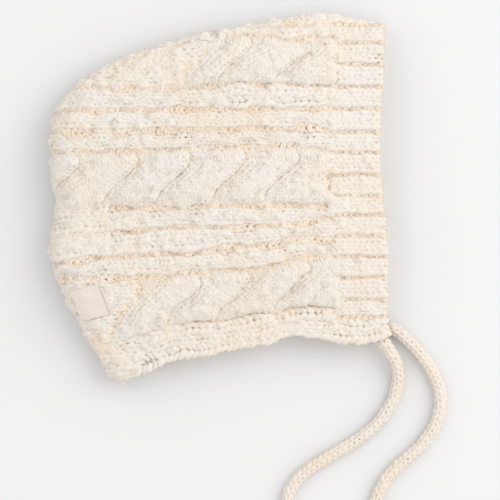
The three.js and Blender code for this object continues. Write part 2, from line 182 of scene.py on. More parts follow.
# Ties: routes of their middles in mm, as the solids have them
UPPER_TIE = [
    (87.8, -75.6, 9.0), (90.2, -79.6, 8.6), (93.4, -84.6, 7.6), (95.3, -89.2, 6.2),
    (96.1, -94.2, 4.7), (95.5, -100.0, 3.8), (94.0, -106.2, 3.6), (90.5, -112.6, 3.6),
    (86.0, -118.9, 3.6), (79.1, -125.3, 3.6), (69.6, -131.7, 3.6), (61.1, -136.5, 3.6),
    (51.8, -142.3, 3.6), (45.9, -146.6, 3.6), (41.7, -150.8, 3.6), (38.8, -155.1, 3.6),
    (37.2, -159.8, 3.6), (36.1, -166.2, 3.6), (35.8, -173.1, 3.6), (36.6, -180.5, 3.6),
    (38.2, -187.4, 3.6),
]
LOWER_TIE = [
    (90.8, -69.0, 3.6), (94.4, -70.1, 3.6), (98.4, -73.4, 3.6), (103.2, -77.7, 3.6),
    (107.3, -82.3, 3.6), (111.0, -87.1, 3.6), (114.2, -92.4, 3.6), (116.6, -97.7, 3.6),
    (118.1, -103.0, 3.6), (118.7, -108.9, 3.6), (117.9, -114.7, 3.6), (115.5, -121.1, 3.6),
    (112.0, -126.9, 3.6), (107.3, -132.8, 3.6), (102.0, -137.5, 3.6), (96.4, -142.3, 3.6),
    (91.6, -147.1, 3.6), (87.9, -152.4, 3.6), (84.7, -159.3, 3.6), (82.3, -166.2, 3.6),
    (81.2, -173.6, 3.6), (81.2, -181.6, 3.6), (82.3, -187.4, 3.6),
]


class BonnetKnitSettings(bpy.types.PropertyGroup):
    """Sizes of the knitting."""

    wale_width: FloatProperty(
        name="Wale Width",
        description="Width of one column of knit stitches",
        default=3.9 * MM,
        unit="LENGTH",
    )
    course_height: FloatProperty(
        name="Course Height",
        description="Distance from one row of stitches to the next",
        default=3.2 * MM,
        unit="LENGTH",
    )
    slub: FloatProperty(
        name="Slub",
        description="How unevenly thick the yarn is, as a share of its radius",
        default=0.16,
        subtype="FACTOR",
    )
    fibres: IntProperty(
        name="Loose Fibres",
        description="How many fine fibres stand off the upper wall",
        default=5000,
    )
    seed: IntProperty(
        name="Seed",
        description="Start of the yarn's chance changes",
        default=7,
    )


class BonnetColourSettings(bpy.types.PropertyGroup):
    """Colours of the yarn, of the shade painted into its grooves, of the tape and of the floor."""

    cream: FloatVectorProperty(
        name="Cream",
        description="Colour of the yarn on the crests of the knitting",
        default=(0.83, 0.772, 0.706),
        subtype="COLOR",
    )
    # Painted shade: the warm colour that low yarn in the grooves is painted towards, standing in
    # for the shade there.
    tan: FloatVectorProperty(
        name="Tan",
        description="Colour of the yarn deep in the grooves",
        default=(0.9, 0.738, 0.565),
        subtype="COLOR",
    )
    tape: FloatVectorProperty(
        name="Tape",
        description="Colour of the woven tab",
        default=(0.92, 0.825, 0.735),
        subtype="COLOR",
    )
    floor: FloatVectorProperty(
        name="Floor",
        description="Colour of the surface that the bonnet lies on",
        default=(0.79, 0.79, 0.79),
        subtype="COLOR",
    )


class BonnetStageSettings(bpy.types.PropertyGroup):
    """Camera and light."""

    camera_height: FloatProperty(
        name="Camera Height",
        description="Height of the camera above the floor",
        default=2.0,
        unit="LENGTH",
    )
    view_width: FloatProperty(
        name="View Width",
        description="Width of what the camera sees at the bonnet",
        default=0.2655,
        unit="LENGTH",
    )
    sky_strength: FloatProperty(
        name="Sky Strength",
        description="Strength of the even light from all round",
        default=0.955,
    )
    softbox_power: FloatProperty(
        name="Softbox Power",
        description="Power of the large soft light",
        default=10.5,
    )


def knit_settings():
    return bpy.context.scene.bonnet_knit


def colour_settings():
    return bpy.context.scene.bonnet_colour


def stage_settings():
    return bpy.context.scene.bonnet_stage


def through(stations, place):
    """Smooth values at places, through stations of (place, value) that rise in place."""
    stations = np.asarray(stations, float)
    xs, ys = stations[:, 0], stations[:, 1]
    place = np.clip(np.asarray(place, float), xs[0], xs[-1])
    slopes = np.gradient(ys)
    spans = np.gradient(xs)
    slopes = slopes / spans
    k = np.clip(np.searchsorted(xs, place, side="right") - 1, 0, len(xs) - 2)
    span = xs[k + 1] - xs[k]
    rise = ys[k + 1] - ys[k]
    t = (place - xs[k]) / span
    bend = t * (1 - t) * ((1 - t) * (slopes[k] * span - rise) + t * (rise - slopes[k + 1] * span))
    return ys[k] + t * rise + bend


def ease(t):
    t = np.clip(t, 0.0, 1.0)
    return t * t * (3 - 2 * t)


def in_mm(shares):
    return [(x * DEPTH, y * HEIGHT) for x, y in shares]


def rising(points, key):
    """Points sorted to rise in x (key 0) or y (key 1), as (place, value) rows."""
    return sorted((p[key], p[1 - key]) for p in points)


CORNER = (CROWN[-1][0] * DEPTH + FOLD_INSET, CROWN[-1][1] * HEIGHT - FOLD_INSET)
CROWN_LINE = rising([(x, y - FOLD_INSET) for x, y in in_mm(CROWN[:-1])] + [CORNER], 0)
BACK_LINE = rising([CORNER] + [(x + FOLD_INSET, y) for x, y in in_mm(BACK[1:])], 1)
FACE_LINE = rising(in_mm(FACE), 1)
NECK_LINE = rising(in_mm(NECK), 0)


def half_gap(x, y):
    """Half the distance between the middles of the two walls."""
    near_face = 1 - ease((through(FACE_LINE, y) - x) / FACE_EASE)
    near_neck = 1 - ease((y - through(NECK_LINE, x)) / NECK_EASE)
    face_loss = (BODY_HALF_GAP - FACE_HALF_GAP) * near_face
    neck_loss = (BODY_HALF_GAP - NECK_HALF_GAP) * near_neck
    return BODY_HALF_GAP - face_loss - neck_loss * (1 - (1 - NECK_PRESS_NEAR_FACE) * near_face)


def dent_depth(x, y):
    depth = np.zeros_like(x)
    for dx, dy, reach, drop in DENTS:
        away = np.hypot(x - dx * DEPTH, y - dy * HEIGHT) / (reach * DEPTH)
        depth += drop * BODY_HALF_GAP * np.exp(-(away**2))
    return depth


def smoothed(points, reach):
    """A polyline resampled every quarter millimetre and softened over reach."""
    points = np.asarray(points, float)
    along = np.concatenate([[0], np.cumsum(np.linalg.norm(np.diff(points, axis=0), axis=1))])
    even = np.arange(0, along[-1], 0.25)
    line = np.stack([np.interp(even, along, points[:, k]) for k in (0, 1)], axis=1)
    half = int(reach / 0.25)
    kernel = np.hanning(2 * half + 3)[1:-1]
    kernel /= kernel.sum()
    padded = np.pad(line, ((half, half), (0, 0)), mode="reflect", reflect_type="odd")
    return np.stack([np.convolve(padded[:, k], kernel, "valid") for k in (0, 1)], axis=1)


class Wall:
    """The folded wall as a table: flat knitting in, its place and outward normal out."""

    STEP = 1.0
    LOW = np.array([-128.0, -128.0])
    COUNT = (240, 262)

    def __init__(self):
        xs = np.arange(130.0, CROWN_LINE[0][0], -1.0)
        crown = np.stack([xs, through(CROWN_LINE, xs)], axis=1)
        ys = np.arange(BACK_LINE[-1][0], -100.0, -1.0)
        back = np.stack([through(BACK_LINE, ys), ys], axis=1)
        tail = back[-1] + np.outer(np.arange(1, 40), [0.35, -1.0])
        line = smoothed(np.concatenate([crown, back, tail]), 5.0)
        tangent = np.gradient(line, axis=0)
        tangent /= np.linalg.norm(tangent, axis=1)[:, None]
        normal = np.stack([tangent[:, 1], -tangent[:, 0]], axis=1)
        normal *= np.sign(normal[0, 1])
        gx = self.LOW[0] + self.STEP * np.arange(self.COUNT[0])
        gy = self.LOW[1] + self.STEP * np.arange(self.COUNT[1])
        px, py = np.meshgrid(gx, gy, indexing="ij")
        flat = np.stack([px.ravel(), py.ravel()], axis=1)
        tree = kdtree.KDTree(len(line))
        for i, (x, y) in enumerate(line):
            tree.insert((x, y, 0.0), i)
        tree.balance()
        near = np.array([tree.find((x, y, 0.0))[1] for x, y in flat])
        shift = ((flat - line[near]) * tangent[near]).sum(axis=1)
        other = np.clip(near + np.sign(shift).astype(int), 0, len(line) - 1)
        blend = np.clip(np.abs(shift) / 0.25, 0, 1)[:, None]
        out = normal[near] * (1 - blend) + normal[other] * blend
        out /= np.linalg.norm(out, axis=1)[:, None]
        foot = line[near] + tangent[near] * np.clip(shift, -0.25, 0.25)[:, None]
        inside = -((flat - foot) * out).sum(axis=1)
        radius = FOLD_ROUNDNESS * half_gap(foot[:, 0], foot[:, 1])
        height = radius / FOLD_ROUNDNESS
        reach = math.pi / 2 * np.sqrt((radius**2 + height**2) / 2)
        turn = np.clip((radius - inside) / reach, 0, 1.45) * math.pi / 2
        bent = inside < radius
        plan = np.where(bent[:, None], foot - out * (radius * (1 - np.sin(turn)))[:, None], flat)
        share = np.cos(turn)
        gap = half_gap(plan[:, 0], plan[:, 1])
        dent = dent_depth(plan[:, 0], plan[:, 1]) * np.maximum(share, 0)
        self.room = (inside - (radius - reach)).reshape(px.shape)
        self.places = {}
        self.normals = {}
        for side in (1, -1):
            z = REST_HEIGHT + gap * (1 + side * share) - (dent if side > 0 else 0)
            place = np.concatenate([plan, z[:, None]], axis=1).reshape(*px.shape, 3)
            du = np.gradient(place, axis=0)
            dv = np.gradient(place, axis=1)
            square = np.cross(du, dv) * side
            lip = np.concatenate([out, np.zeros((len(out), 1))], axis=1).reshape(place.shape)
            edge = (turn > 2.2).reshape(px.shape)[..., None]
            length = np.linalg.norm(square, axis=2, keepdims=True)
            square = np.where(edge | (length < 1e-6), lip, square / np.maximum(length, 1e-9))
            self.places[side] = place
            self.normals[side] = square

    def _mix(self, table, x, y):
        u = np.clip((x - self.LOW[0]) / self.STEP, 0, self.COUNT[0] - 1.001)
        v = np.clip((y - self.LOW[1]) / self.STEP, 0, self.COUNT[1] - 1.001)
        i, j = u.astype(int), v.astype(int)
        s, t = u - i, v - j
        if table.ndim == 3:
            s, t = s[..., None], t[..., None]
        low = table[i, j] * (1 - s) + table[i + 1, j] * s
        high = table[i, j + 1] * (1 - s) + table[i + 1, j + 1] * s
        return low * (1 - t) + high * t

    def spare(self, x, y):
        """Distance of flat knitting from the line where the wall has turned over."""
        return self._mix(self.room, x, y)

    def lay(self, x, y, lift, side):
        """Places in metres of points at lift over flat knitting."""
        place = self._mix(self.places[side], x, y)
        normal = self._mix(self.normals[side], x, y)
        normal /= np.maximum(np.linalg.norm(normal, axis=-1, keepdims=True), 1e-9)
        place = place + normal * lift[..., None]
        place[..., 2] = np.maximum(place[..., 2], FLOOR_ROOM)
        return place * MM


WALL = Wall()


def cable_place(cable, x, y):
    """Place across a cable, from -1 at its foot to 1 at its top edge."""
    top = through(GROOVES[CABLES[cable]["edge"]], x) - CABLE_MARGIN
    foot = through(GROOVES[CABLES[cable]["foot"]], x) + CABLE_MARGIN
    return (y - (top + foot) / 2) / ((top - foot) / 2)


def cable_turn(cable, x, y):
    """Distances from the crossings on the left and right, and the place across."""
    across = cable_place(cable, x, y)
    run = x - through(CROSSING, across)
    ends = np.array(CABLES[cable]["ends"][::-1])
    k = np.clip(np.searchsorted(ends, run) - 1, 0, len(ends) - 2)
    return run - ends[k], ends[k + 1] - run, across


def brim_seam(y):
    """Where the body's knitting goes over into the brim's, a little uneven."""
    uneven = 1.1 * np.sin(y * 0.31) + 0.8 * np.sin(y * 0.83 + 1.0)
    middle = (CLOSED_RIB[1] + CLOSED_RIB[2]) / 2
    uneven = uneven - 4.0 * np.exp(-(((y - middle) / 6.0) ** 4))
    return through(FACE_LINE, y) - BRIM_WIDTH + uneven


def rib_height(x, y):
    """Height of the body's ribs, with the grooves between them a little sunk."""
    apart = []
    for name, stations in GROOVES.items():
        away = np.abs(through(stations, x) - y)
        if name.startswith("crown"):
            away = away + 9 * ease((6 - x) / 10)
        if name in FADING:
            away = away + 9 * ease((FADE_AT + 2 - x) / 8)
        apart.append(away)
    away = np.min(apart, axis=0)
    return RIB_RELIEF * ease(away / 3.8) - 0.2 * (1 - ease(away / 2.8))


def cable_height(name, x, y):
    """Height of a cable's lobes, which rise away from a crossing and dip into the next."""
    left, right, across = cable_turn(name, x, y)
    run = x - through(CROSSING, across)
    shown = ease((run - CABLES[name]["ends"][-1] + 12) / 12)
    inside = np.clip(1.04 - np.abs(across) ** 5, 0, 1) ** 0.6
    over = ease((across + 1.1) / 0.4)
    rise = 0.12 + 0.88 * ease(left / 15.0)
    crease = np.clip(1 - left / 1.8, 0, 1) + np.clip(1 - right / 3.0, 0, 1) ** 2
    lobe = 4.2 * rise - (0.5 + 2.1 * rise) * over * np.clip(crease, 0, 1)
    mound = inside * (lobe * shown + 0.8 * (1 - shown))
    return mound * (0.3 + 0.7 * ease(WALL.spare(x, y) / 14.0))


def brim_height(x, y):
    """Height of the brim's ribs, one of which ends at its arch."""
    arch, closed_top, closed_foot = CLOSED_RIB
    lines = np.array(BRIM_GROOVES)[:, None]
    away = np.abs(lines - y.ravel()).min(axis=0).reshape(y.shape)
    closed = (y < closed_top) & (y > closed_foot)
    away = np.where(closed, np.minimum(away, np.abs(x - arch)), away)
    return RIB_RELIEF * ease(away / 3.0) + 0.6 * (1 - ease(away / 2.2))


def relief(x, y):
    """Height of the knitting's crests over the wall, in mm, on the upper side."""
    body = rib_height(x, y)
    for name in CABLES:
        here = (np.abs(cable_place(name, x, y)) < 1.0) & (x < DEPTH / 2 - BRIM_WIDTH)
        body = np.where(here, cable_height(name, x, y), body)
    share = ease((x - brim_seam(y) + 2.0) / 3.0)
    height = body * (1 - share) + brim_height(x, y) * share
    band = ease((through(BAND_SEAM, x) + 1.5 - y) / 1.5)
    return height * (1 - band) + 0.9 * band


class Path:
    """One wale: a line on the flat knitting with the width of its stitches."""

    def __init__(self, points, width, purl=False, lift=0.0):
        self.points = np.asarray(points, float)
        self.widths = np.broadcast_to(np.asarray(width, float), len(self.points))
        self.purl = purl
        self.lift = lift
        step = np.linalg.norm(np.diff(self.points, axis=0), axis=1)
        self.along = np.concatenate([[0], np.cumsum(step)])
        tangent = np.gradient(self.points, axis=0)
        self.tangent = tangent / np.linalg.norm(tangent, axis=1)[:, None]

    def at(self, s):
        end = self.along[-1]
        inside = np.clip(s, 0, end)
        place = [np.interp(inside, self.along, self.points[:, k]) for k in (0, 1)]
        way = [np.interp(inside, self.along, self.tangent[:, k]) for k in (0, 1)]
        over = s - inside
        width = np.interp(inside, self.along, self.widths)
        return place[0] + way[0] * over, place[1] + way[1] * over, way[0], way[1], width


def level_wale(line, start, stop, width, purl=False, lift=0.0):
    """A wale along a groove-like line, from the face side to the back."""
    xs = np.arange(start, stop, -0.5)
    if callable(width):
        width = width(xs)
    return Path(np.stack([xs, line(xs)], axis=1), width, purl, lift)


def follow(stations, shift=0.0):
    """A line over a row of stations, at that distance above them."""
    return lambda x: through(stations, x) + shift


def straight_wale(y, start, stop, width, purl=False):
    return level_wale(lambda x: y + 0 * x, start, stop, width, purl)


def chance_waves(seed, length, count=9):
    """Directions, steps and starts of gentle waves of about that length."""
    rng = np.random.default_rng(seed)
    turn = rng.random(count) * 2 * math.pi
    step = 2 * math.pi / (length * (0.7 + 0.9 * rng.random(count)))
    return np.cos(turn) * step, np.sin(turn) * step, rng.random(count) * 2 * math.pi


def wander(x, y, waves):
    """Smooth chance values of about -1 to 1 over flat knitting."""
    total = np.zeros_like(x)
    for kx, ky, start in zip(*waves):
        total = total + np.sin(kx * x + ky * y + start)
    return total / math.sqrt(len(waves[0]))


DRIFT_X = chance_waves(11, 16.0)
DRIFT_Y = chance_waves(12, 13.0)
SWELL = chance_waves(13, 9.0)
PUFFS = chance_waves(14, 6.5)


def loop_rows(path, course, keep):
    """Where one wale's stitches that pass keep sit along it, and their distance."""
    count = max(int(round(path.along[-1] / course)), 1)
    pitch = path.along[-1] / count
    middles = (np.arange(count) + 0.5) * pitch
    x, y = path.at(middles)[:2]
    return middles[keep(x, y)], pitch


def master_loop(rings, sides):
    """A tube of rings along +Z, closed at both ends: each vertex's ring and angle, the faces."""
    bm = bmesh.new()
    bmesh.ops.create_circle(bm, cap_ends=True, segments=sides, radius=1.0)
    end = list(bm.faces)
    for _ in range(rings - 1):
        made = bmesh.ops.extrude_face_region(bm, geom=end)
        moved = [g for g in made["geom"] if isinstance(g, bmesh.types.BMVert)]
        bmesh.ops.translate(bm, verts=moved, vec=(0, 0, 1))
        inner = end
        end = [g for g in made["geom"] if isinstance(g, bmesh.types.BMFace)]
        if inner[0].calc_center_median().z > 0.5:
            bmesh.ops.delete(bm, geom=inner, context="FACES_ONLY")
    bmesh.ops.recalc_face_normals(bm, faces=bm.faces)
    bm.verts.index_update()
    ring = np.array([round(v.co.z) for v in bm.verts])
    angle = np.array([math.atan2(v.co.y, v.co.x) for v in bm.verts])
    faces = [[v.index for v in f.verts] for f in bm.faces]
    bm.free()
    return {"ring": ring, "angle": angle, "faces": faces, "rings": rings, "sides": sides}


LOOP_FINE = master_loop(13, 6)
LOOP_PLAIN = master_loop(9, 4)
FIBRE = master_loop(5, 3)


def show(name, data):
    """A new object at the origin, in the scene."""
    made = bpy.data.objects.new(name, data)
    bpy.context.scene.collection.objects.link(made)
    return made


class Yarn:
    """Gathers stitches and turns them into one joined mesh."""

    def __init__(self, loop):
        self.loop = loop
        self.verts = []
        self.shade_tones = []
        self.uvs = []
        self.count = 0

    def add(self, middles, shade_tone, radius, lay, phase):
        """middles: (stitches, rings, 3) in flat knitting or cord space, radius the same
        without the last axis. lay turns such points into places in metres."""
        loop = self.loop
        along = np.gradient(middles, axis=1)
        along /= np.maximum(np.linalg.norm(along, axis=2, keepdims=True), 1e-9)
        up = np.array([0.0, 0.0, 1.0])
        side = np.cross(along, up)
        side /= np.maximum(np.linalg.norm(side, axis=2, keepdims=True), 1e-9)
        top = np.cross(side, along)
        ring, angle = loop["ring"], loop["angle"]
        r = radius[:, ring][..., None]
        spot = middles[:, ring] + r * (
            side[:, ring] * np.cos(angle)[None, :, None]
            + top[:, ring] * np.sin(angle)[None, :, None]
        )
        self.verts.append(lay(spot).reshape(-1, 3))
        # Painted shade: the underside of each strand is painted towards the groove colour, as the
        # shade beneath it.
        deep = 0.32 * (1 - np.sin(angle)) ** 1.4
        self.shade_tones.append(np.clip(shade_tone[:, ring] - deep, 0, 1).reshape(-1))
        self.uvs.append((phase[:, None] + ring[None, :] / (loop["rings"] - 1)).reshape(-1))
        self.count += len(middles)

    def mesh(self, name, material):
        loop = self.loop
        verts = np.concatenate(self.verts)
        faces = loop["faces"]
        sizes = np.array([len(f) for f in faces])
        corners = np.concatenate([np.array(f) for f in faces])
        per = len(loop["ring"])
        shift = np.arange(self.count) * per
        all_corners = (corners[None, :] + shift[:, None]).ravel()
        all_sizes = np.tile(sizes, self.count)
        starts = np.concatenate([[0], np.cumsum(all_sizes)[:-1]])
        mesh = bpy.data.meshes.new(name)
        mesh.vertices.add(len(verts))
        mesh.vertices.foreach_set("co", verts.astype(np.float32).ravel())
        mesh.loops.add(len(all_corners))
        mesh.loops.foreach_set("vertex_index", all_corners.astype(np.int32))
        mesh.polygons.add(len(all_sizes))
        mesh.polygons.foreach_set("loop_start", starts.astype(np.int32))
        mesh.polygons.foreach_set("use_smooth", np.ones(len(all_sizes), bool))
        mesh.update(calc_edges=True)
        # Per-vertex share of the plain yarn colour against painted shade, read by the yarn
        # material: 1 is plain, 0 is full painted shade.
        shade_tone = mesh.attributes.new("shade_tone", "FLOAT", "POINT")
        shade_tone.data.foreach_set("value", np.concatenate(self.shade_tones).astype(np.float32))
        uv = mesh.uv_layers.new(name="yarn")
        along = np.concatenate(self.uvs)[all_corners]
        angle = loop["angle"][corners] / (2 * math.pi) % 1.0
        first = np.concatenate([[0], np.cumsum(sizes)[:-1]])
        for at, size in zip(first, sizes):
            part = angle[at : at + size]
            if size == 4 and part.max() - part.min() > 0.5:
                part[part < 0.5] += 1.0
        around = np.tile(angle, self.count)
        uv.data.foreach_set("uv", np.stack([along, around], axis=1).astype(np.float32).ravel())
        mesh.materials.append(material)
        mesh.validate()
        piece = show(name, mesh)
        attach(piece, "root")
        return piece


def loop_shape(rings, purl):
    """One stitch as the yarn runs: across, up the wale and out of the cloth, all as shares."""
    t = np.linspace(0, 1, rings)
    across = t - 0.5 + 0.24 * np.sin(4 * math.pi * t)
    climb = -0.80 * np.cos(2 * math.pi * t)
    out = -0.16 * np.cos(4 * math.pi * t)
    return across, climb, -out if purl else out


def knit(yarn, path, rng, keep, course, slub, side=1, plump=0.36, loose=0.9):
    """Adds the stitches of one wale to the yarn. loose says how uneven they are."""
    rings = yarn.loop["rings"]
    middles, pitch = loop_rows(path, course, keep)
    if not len(middles):
        return
    across, climb, out = loop_shape(rings, path.purl)
    n = len(middles)
    s = middles[:, None] + pitch * climb[None, :]
    x, y, tx, ty, width = path.at(s)
    jitter = 1 + 0.05 * rng.standard_normal((n, 1))
    a = across[None, :] * width * jitter
    px = x - ty * a
    py = y + tx * a
    crest = relief(px, py) if side > 0 else 0.4 * np.ones_like(px)
    puff = np.clip(wander(px, py, PUFFS) - 0.55, 0, 1.3)
    lift = 0.35 + crest + path.lift + width * out[None, :] * (0.8 if path.purl else 0.6)
    lift = lift + loose * (0.4 * wander(px, py, SWELL) + 0.9 * puff)
    lift += 0.12 * loose * rng.standard_normal((n, 1))
    if path.purl:
        lift -= 0.15
    px = px + 0.9 * loose * wander(px, py, DRIFT_X)
    py = py + 0.9 * loose * wander(px, py, DRIFT_Y)
    swell = 1 + slub * rng.standard_normal((n, 1)) * 0.8
    ripple = 1 + 0.5 * slub * np.sin(
        2 * math.pi * (rng.random((n, 1)) + np.linspace(0, 1, rings)[None, :] * 1.5)
    )
    if path.purl:
        plump = plump * 0.84
    r = np.clip(plump * width, 0.7, 1.75) * np.clip(swell, 0.78, 1.3) * ripple
    r = r * (1 + 0.12 * puff)
    # Painted shade: the lower the yarn lies, the more it is painted towards the groove colour;
    # purl wales get more painted shade, most of all in the brim.
    shade_tone = np.clip((lift + (0.5 if path.purl else 0.8)) / 2.2, 0, 1)
    if path.purl:
        shade_tone = shade_tone * (0.85 - 0.25 * ease((px - brim_seam(py)) / 3.0))
    if side < 0:
        shade_tone = np.full_like(shade_tone, 0.95)
    flat = np.stack([px, py, lift], axis=2)

    def lay(spot):
        return WALL.lay(spot[..., 0], spot[..., 1], spot[..., 2], side)

    yarn.add(flat, shade_tone, r, lay, rng.random(n) * 10)


def on_wall(x, y):
    return WALL.spare(x, y) > -PAST_FOLD


def over_band(x, y):
    return on_wall(x, y) & (y > through(BAND_SEAM, x) + 1.0)


def in_body(x, y):
    return over_band(x, y) & (x < brim_seam(y) + 0.6)


def in_brim(x, y):
    return over_band(x, y) & (x > brim_seam(y) - 1.2)


def rib_wales(upper, lower, start, stop):
    """The knit wales between two grooves: two, or three where they lie far apart."""
    top, foot = GROOVES[upper], GROOVES[lower]
    xs = np.arange(start, stop, -1.0)
    knits = 2 if float(np.mean(through(top, xs) - through(foot, xs))) < 13.5 else 3
    wales = []
    for k in range(knits):
        def line(x, k=k):
            share = (k + 0.5) / knits
            high = through(top, x) - GROOVE_WIDTH / 2
            return high - share * (high - through(foot, x) - GROOVE_WIDTH / 2)

        def width(x):
            return (through(top, x) - through(foot, x) - GROOVE_WIDTH) / knits * 1.06

        wales.append(level_wale(line, start, stop, width))
    return wales


def groove_wale(name, start, stop):
    return level_wale(follow(GROOVES[name]), start, stop, PURL_WALE, purl=True)


def groove_wales(name, start, stop):
    """The purl wale of a groove, which runs on as a knit one where the groove fades."""
    if name not in FADING:
        return [groove_wale(name, start, stop)]
    line = GROOVES[name]
    plain = level_wale(follow(line), FADE_AT, stop, PURL_WALE)
    return [groove_wale(name, start, FADE_AT), plain]


def lobe_wales(cable, k):
    """The wales of one lobe of a cable, from its upper end down to its foot."""
    ends = CABLES[cable]["ends"]
    right, left = ends[k], ends[k + 1]
    count = max(int(round((right - left) / CABLE_SPACING)), 3)
    top = GROOVES[CABLES[cable]["edge"]]
    foot = GROOVES[CABLES[cable]["foot"]]
    rises = np.arange(1.12, -1.12, -0.03)
    wales = []
    for j in range(count):
        shift = (right - left) * (j + 0.5) / count
        xs = right - shift + through(CROSSING, rises)
        upper = through(top, xs) - 2.0
        lower = through(foot, xs) + 2.0
        ys = (upper + lower) / 2 + rises * (upper - lower) / 2
        width = (right - left) / count * LOBE_SLOPE * 1.12
        wales.append(Path(np.stack([xs, ys], axis=1), width))
    return wales


def knit_piece(name, wales, keep, loop, side=1, **options):
    """One piece of knitting from its wales."""
    settings = knit_settings()
    rng = np.random.default_rng(settings.seed + sum(map(ord, name)))
    yarn = Yarn(loop)
    options = {"course": settings.course_height / MM, "slub": settings.slub, **options}
    for path in wales:
        knit(yarn, path, rng, keep, side=side, **options)
    piece = yarn.mesh(name, yarn_material())
    print(name, yarn.count, "stitches", len(piece.data.polygons), "faces")
    return piece


def put(tree, socket, value):
    """Sets an input to a number or colour, or joins it to another node's output."""
    if isinstance(value, bpy.types.NodeSocket):
        tree.links.new(value, socket)
    else:
        socket.default_value = value


def node(tree, kind, inputs=None, **values):
    """A new node with its settings and its inputs by name."""
    made = tree.nodes.new(kind)
    for key, value in values.items():
        setattr(made, key, value)
    for key, value in (inputs or {}).items():
        put(tree, made.inputs[key], value)
    return made


def maths(tree, operation, *values):
    """The result of a math node on outputs or numbers."""
    made = node(tree, "ShaderNodeMath", operation=operation)
    for socket, value in zip(made.inputs, values):
        put(tree, socket, value)
    return made.outputs[0]


def soft_material(name, roughness, specular, sheen=0.0):
    """A matt material, its tree and its shader."""
    material = bpy.data.materials.new(name)
    material.use_nodes = True
    shader = material.node_tree.nodes["Principled BSDF"]
    shader.inputs["Roughness"].default_value = roughness
    shader.inputs["Specular IOR Level"].default_value = specular
    shader.inputs["Sheen Weight"].default_value = sheen
    return material, material.node_tree, shader


def add_bump(tree, shader, height, distance):
    values = {"Strength": 0.6, "Distance": distance, "Height": height}
    bump = node(tree, "ShaderNodeBump", values)
    tree.links.new(bump.outputs["Normal"], shader.inputs["Normal"])


def new_group(name, inputs, outputs):
    """A node group with its entry and its way out. inputs and outputs name its sockets."""
    group = bpy.data.node_groups.new(name, "ShaderNodeTree")
    for socket, kind in inputs.items():
        group.interface.new_socket(socket, in_out="INPUT", socket_type="NodeSocket" + kind)
    for socket in outputs:
        group.interface.new_socket(socket, in_out="OUTPUT", socket_type="NodeSocketFloat")
    return group, node(group, "NodeGroupInput"), node(group, "NodeGroupOutput")


def fuzz_group():
    """Shared effect: the fine hairs of spun yarn as a height, and soft clouds."""
    name = "spun_yarn_relief"
    if name in bpy.data.node_groups:
        return bpy.data.node_groups[name]
    group, entry, leave = new_group(name, {"Scale": "Float"}, ("Height", "Cloudy"))
    place = node(group, "ShaderNodeTexCoord").outputs["Object"]
    fine = {"Vector": place, "Scale": entry.outputs["Scale"], "Detail": 4.0, "Roughness": 0.65}
    broad = {"Vector": place, "Scale": 38.0, "Detail": 2.0}
    hairs = node(group, "ShaderNodeTexNoise", fine)
    clouds = node(group, "ShaderNodeTexNoise", broad)
    put(group, leave.inputs["Height"], hairs.outputs["Fac"])
    put(group, leave.inputs["Cloudy"], clouds.outputs["Fac"])
    return group


def yarn_material():
    """Spun yarn: cream on the crests, with warm painted shade in the grooves and on the underside
    of each strand, and its plies and hairs.
    """
    name = "cream_spun_yarn"
    if name in bpy.data.materials:
        return bpy.data.materials[name]
    colours = colour_settings()
    material, tree, shader = soft_material(name, 0.9, 0.2, 0.3)
    shader.inputs["Sheen Roughness"].default_value = 0.5
    shader.inputs["Sheen Tint"].default_value = (1.0, 0.93, 0.82, 1.0)
    fuzz = node(tree, "ShaderNodeGroup", {"Scale": 900.0}, node_tree=fuzz_group())
    shade_tone = node(tree, "ShaderNodeAttribute", attribute_name="shade_tone", attribute_type="GEOMETRY")
    # Painted shade: the ramp runs from the painted groove shade at 0 to the plain crest colour
    # near 1.
    ramp = node(tree, "ShaderNodeValToRGB", {"Fac": shade_tone.outputs["Fac"]})
    deep, crest = ramp.color_ramp.elements
    deep.position = 0.0
    deep.color = (*colours.tan, 1.0)
    crest.position = 0.9
    crest.color = (*colours.cream, 1.0)
    clouds = {"Value": fuzz.outputs["Cloudy"], "From Min": 0.42, "From Max": 0.68, "To Max": 0.42}
    warm = node(tree, "ShaderNodeMapRange", clouds)
    colour = {
        "Factor": warm.outputs["Result"],
        "A": ramp.outputs["Color"],
        "B": (1.0, 0.93, 0.81, 1.0),
    }
    shade = node(tree, "ShaderNodeMix", colour, data_type="RGBA", blend_type="MULTIPLY")
    tree.links.new(shade.outputs["Result"], shader.inputs["Base Color"])
    uv = node(tree, "ShaderNodeUVMap", uv_map="yarn")
    split = node(tree, "ShaderNodeSeparateXYZ", {"Vector": uv.outputs["UV"]})
    turns = maths(tree, "MULTIPLY", split.outputs["X"], 5.0)
    plies = maths(tree, "MULTIPLY", split.outputs["Y"], 2.0)
    both = maths(tree, "ADD", turns, plies)
    wave = maths(tree, "SINE", maths(tree, "MULTIPLY", both, 2 * math.pi))
    height = maths(tree, "MULTIPLY_ADD", wave, 0.12, fuzz.outputs["Height"])
    add_bump(tree, shader, height, 0.0006)
    return material


def fibre_material():
    """Single fibres of the yarn: its colour, a little cloudy, and a soft sheen."""
    cream = colour_settings().cream
    material, tree, shader = soft_material("cream_fibre", 0.8, 0.2, 0.3)
    fuzz = node(tree, "ShaderNodeGroup", {"Scale": 900.0}, node_tree=fuzz_group())
    colour = {
        "Factor": fuzz.outputs["Cloudy"],
        "A": (*cream, 1.0),
        "B": (*[min(c * 1.06, 0.97) for c in cream], 1.0),
    }
    shade = node(tree, "ShaderNodeMix", colour, data_type="RGBA")
    tree.links.new(shade.outputs["Result"], shader.inputs["Base Color"])
    return material


